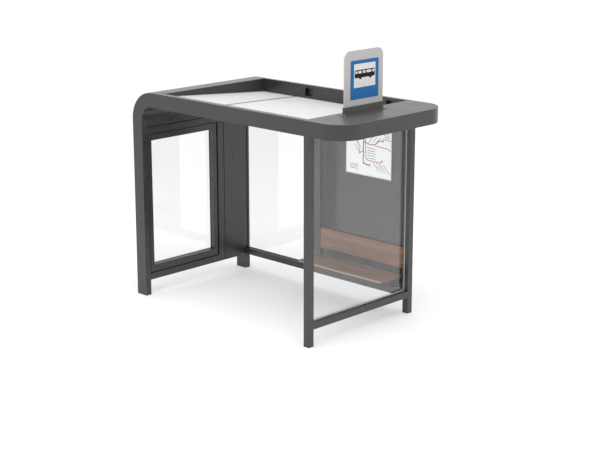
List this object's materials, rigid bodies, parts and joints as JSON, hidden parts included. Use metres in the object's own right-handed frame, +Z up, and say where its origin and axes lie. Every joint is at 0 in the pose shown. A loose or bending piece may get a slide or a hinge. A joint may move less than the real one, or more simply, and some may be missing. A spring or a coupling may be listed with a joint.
{
  "type": "bus shelter",
  "caption": "Open-fronted bus shelter with a bent left end, glass walls, poster case, dark back panel, wooden bench and a stop sign on the roof.",
  "frame": {"origin": "ground level, under the middle of the roof's plan", "axes": "+X along the roof from the bent left end to the right deck, +Y from the open street side to the back wall, +Z up"},
  "size_m": [3.45, 1.79, 3.265],
  "materials": {
    "frame": "satin anthracite powder coat",
    "inner_frame": "satin dark powder coat",
    "glass": "clear toughened glass",
    "roof_panel": "opal translucent sheet",
    "dark_panel": "glossy dark laminate",
    "map_frame": "satin",
    "map_sheet": "printed sheet behind clear film",
    "timber": "oiled hardwood",
    "sign_metal": "satin silver grey",
    "sign_face": "blue sheeting with a plain pictogram"
  },
  "bodies": {
    "root": {"post_front_left": "frame", "post_back_left": "frame", "post_front_right": "frame", "post_back_right": "frame", "back_mullion": "frame", "back_rail": "frame", "end_rail": "frame", "left_bend": "frame", "left_header": "frame", "front_beam": "frame", "back_beam": "frame", "left_inner_plate": "inner_frame", "right_inner_plate": "inner_frame", "right_top_plate": "frame", "right_skirt": "frame", "right_soffit": "frame", "roof_panel_left": "roof_panel", "roof_panel_right": "roof_panel", "seam_bearer": "inner_frame", "left_ledge": "inner_frame", "right_ledge": "inner_frame", "front_ledge": "inner_frame", "case_bottom_rail": "frame", "case_top_rail": "frame", "case_stile": "frame", "infill_panel": "frame", "leaf_bottom_rail": "frame", "leaf_top_rail": "frame", "leaf_left_stile": "frame", "leaf_right_stile": "frame", "case_glass": "glass", "back_glass": "glass", "back_panel": "dark_panel", "end_glass": "glass", "map_frame": "map_frame", "map_board": "map_sheet", "bench_seat": "timber", "bench_back": "timber", "bench_bracket_left": "inner_frame", "bench_bracket_right": "inner_frame", "sign_foot": "inner_frame", "sign_plate": "sign_metal", "sign_face": "sign_face"}
  },
  "joints": []
}
